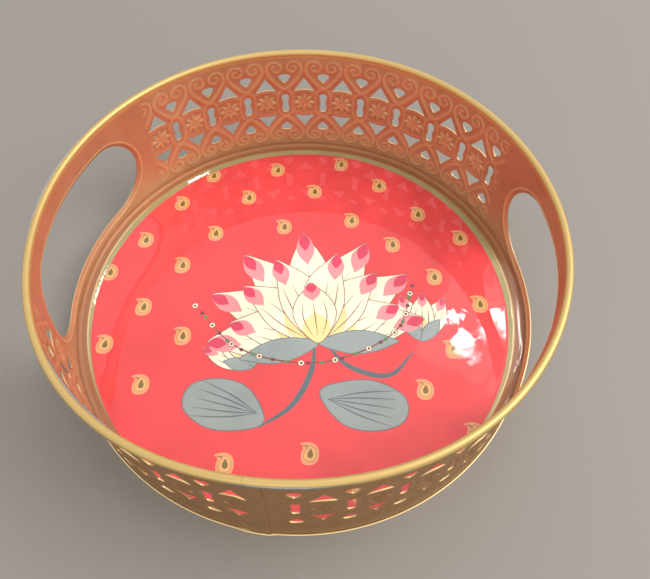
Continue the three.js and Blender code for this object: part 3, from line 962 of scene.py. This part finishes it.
def clear_resin():
    """Cast epoxy: what lies under it shows through, and its skin mirrors by the Fresnel share."""
    material, tree = new_finish("poured_clear_resin")
    place = node(tree, "TexCoord").outputs["Object"]
    # ripples about 8 mm across left by the pour
    ripple = node(tree, "TexNoise", {"Vector": place}, Scale=120.0, Detail=2.0)
    broad = node(tree, "Bump", {"Height": ripple.outputs[0]}, Strength=0.1, Distance=0.0004)
    # grit about 0.8 mm across that settled in patches of the skin
    grit = node(tree, "TexNoise", {"Vector": place}, Scale=1200.0, Detail=3.0, Roughness=0.7)
    patch = node(tree, "TexNoise", {"Vector": place}, Scale=26.0, Detail=2.0)
    share_of_grit = ranged(tree, patch.outputs[0], 0.4, 0.6, 0.1, 1)
    pitted = node(tree, "Math", {0: grit.outputs[0], 1: share_of_grit}, operation="MULTIPLY")
    relief = {"Height": pitted.outputs[0], "Normal": broad.outputs[0]}
    bump = node(tree, "Bump", relief, Strength=0.05, Distance=0.0001)
    through = node(tree, "BsdfTransparent")
    through.inputs[0].default_value = (0.97, 0.965, 0.95, 1)
    skin = node(tree, "BsdfPrincipled", {"Normal": bump.outputs[0]})
    skin.inputs["Base Color"].default_value = (1, 1, 1, 1)
    skin.inputs["Metallic"].default_value = 1.0
    skin.inputs["Roughness"].default_value = 0.01
    share = node(tree, "Fresnel", {"Normal": bump.outputs[0]}, IOR=1.5)
    from_behind = node(tree, "NewGeometry").outputs["Backfacing"]
    front = node(tree, "Math", {1: from_behind}, operation="SUBTRACT")
    front.inputs[0].default_value = 1.0
    gated = node(tree, "Math", {0: share.outputs[0], 1: front.outputs[0]}, operation="MULTIPLY")
    both = node(tree, "MixShader", {0: gated.outputs[0], 1: through.outputs[0], 2: skin.outputs[0]})
    node(tree, "OutputMaterial", {"Surface": both.outputs[0]})
    return material


def studio_floor():
    material, tree = new_finish("studio_floor")
    place = node(tree, "TexCoord").outputs["Object"]
    cloud = node(tree, "TexNoise", {"Vector": place}, Scale=6.0, Detail=2.0)
    tone = blend_colour(tree, cloud.outputs[0], "#86827d", "#8a8681")
    surface(tree, {"Base Color": tone}, Roughness=0.7)
    return material


def painted(piece, material):
    piece.data.materials.clear()
    piece.data.materials.append(material)


def dressed(piece, material, node_name):
    painted(piece, material)
    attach(piece, "root")
    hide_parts(node_name)


# Camera at the photograph's place
EYE_PLACE = (0.036211, -0.186868, 0.310454)
EYE_TURN = (33.137, -0.5683, 7.9829)  # degrees
EYE_LENS = 34.93  # mm, for a sensor 36 mm wide


def camera():
    bpy.ops.object.camera_add(location=EYE_PLACE, rotation=[math.radians(angle) for angle in EYE_TURN])
    eye = bpy.context.object
    eye.data.sensor_width = 36
    eye.data.lens = EYE_LENS
    eye.data.clip_start = 0.01
    bpy.context.scene.camera = eye


def panel(name, azimuth, elevation, distance, wide, tall, radiance, colour="#ffffff"):
    """A studio light that faces the tray's middle; its power follows from its size and its radiance."""
    a, e = math.radians(azimuth), math.radians(elevation)
    away = Vector((math.cos(a) * math.cos(e), math.sin(a) * math.cos(e), math.sin(e)))
    bpy.ops.object.light_add(type="AREA", location=away * distance + Vector((0, 0, 0.01)))
    light = bpy.context.object
    light.name = name
    light.rotation_euler = away.to_track_quat("Z", "Y").to_euler()
    light.data.shape = "RECTANGLE"
    light.data.size = wide
    light.data.size_y = tall
    light.data.energy = radiance * math.pi * wide * tall
    light.data.color = linear(colour)


def studio():
    bpy.ops.object.select_all(action="DESELECT")
    bpy.ops.mesh.primitive_plane_add(size=6, location=(0, 0, 0))
    floor = added("studio_floor")
    floor.data.materials.append(studio_floor())
    # azimuth and elevation in degrees, distance, width and height in metres, radiance: first a window
    # in small panes, which the clear coat mirrors at the right, and a roof light mirrored at the back
    panel("window_pane_upper", 69.8, 56.4, 1.6, 0.055, 0.04, 30)
    panel("window_pane_lower", 66.2, 58.2, 1.6, 0.042, 0.055, 30)
    panel("window_pane_corner", 62.6, 59.2, 1.6, 0.018, 0.022, 30)
    panel("window_pane_side", 63.9, 55.4, 1.6, 0.03, 0.075, 30)
    panel("window_curtain", 66.5, 57, 1.65, 0.24, 0.28, 0.9)
    panel("roof_pane", 51.8, 75.2, 1.6, 0.08, 0.08, 30)
    panel("soft_panel", 12, 48, 2.2, 1.6, 1.6, 4.4, "#fffaf4")
    panel("soft_panel_front", 272, 34, 2.4, 1.4, 0.7, 1.8, "#fffaf4")
    world = bpy.data.worlds.new("studio_room")
    bpy.context.scene.world = world
    world.use_nodes = True
    room = world.node_tree.nodes["Background"]
    room.inputs[0].default_value = [*linear("#e8e6e4"), 1]
    room.inputs[1].default_value = 1.2
    bpy.context.scene.view_settings.view_transform = "Standard"


def main():
    wall_paint = gold_paint(
        "satin_gold_paint", light="#be9672", dark="#b28964", wear_and_highlight="#dcbf88", lit_rim_tone="#c9ab6c",
        outside_painted_light="#a87c4e", metallic=0.6, roughness=0.4)
    base_paint = gold_paint(
        "satin_gold_paint_base", light="#be9672", dark="#b28964", wear_and_highlight="#f6dfa8", lit_rim_tone="#c9ab6c",
        outside_painted_light="#f0d096", metallic=0.4, roughness=0.4)
    wall = joined("wall_sheet", [wall_sheet(), curled_bead()])
    smooth_by(wall, 38)
    dressed(wall, wall_paint, "wall_band")
    base = bottom_sheet()
    smooth_by(base, 40)
    dressed(base, base_paint, "base_sheet")
    fibreboard = board()
    smooth_by(fibreboard, 40)
    dressed(fibreboard, painted_board(), "floor_board")
    paper = print_sheet()
    dressed(paper, printed_paper(), "print_sheet")
    coat = clear_coat()
    smooth_by(coat, 60)
    dressed(coat, clear_resin(), "resin_coat")
    # the rim's wire is the solid's own and truly round, so it cuts through the curl where the rim is
    # out of round, and shows there
    painted(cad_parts["rim_wire"], bare_steel())
    camera()
    studio()


main()
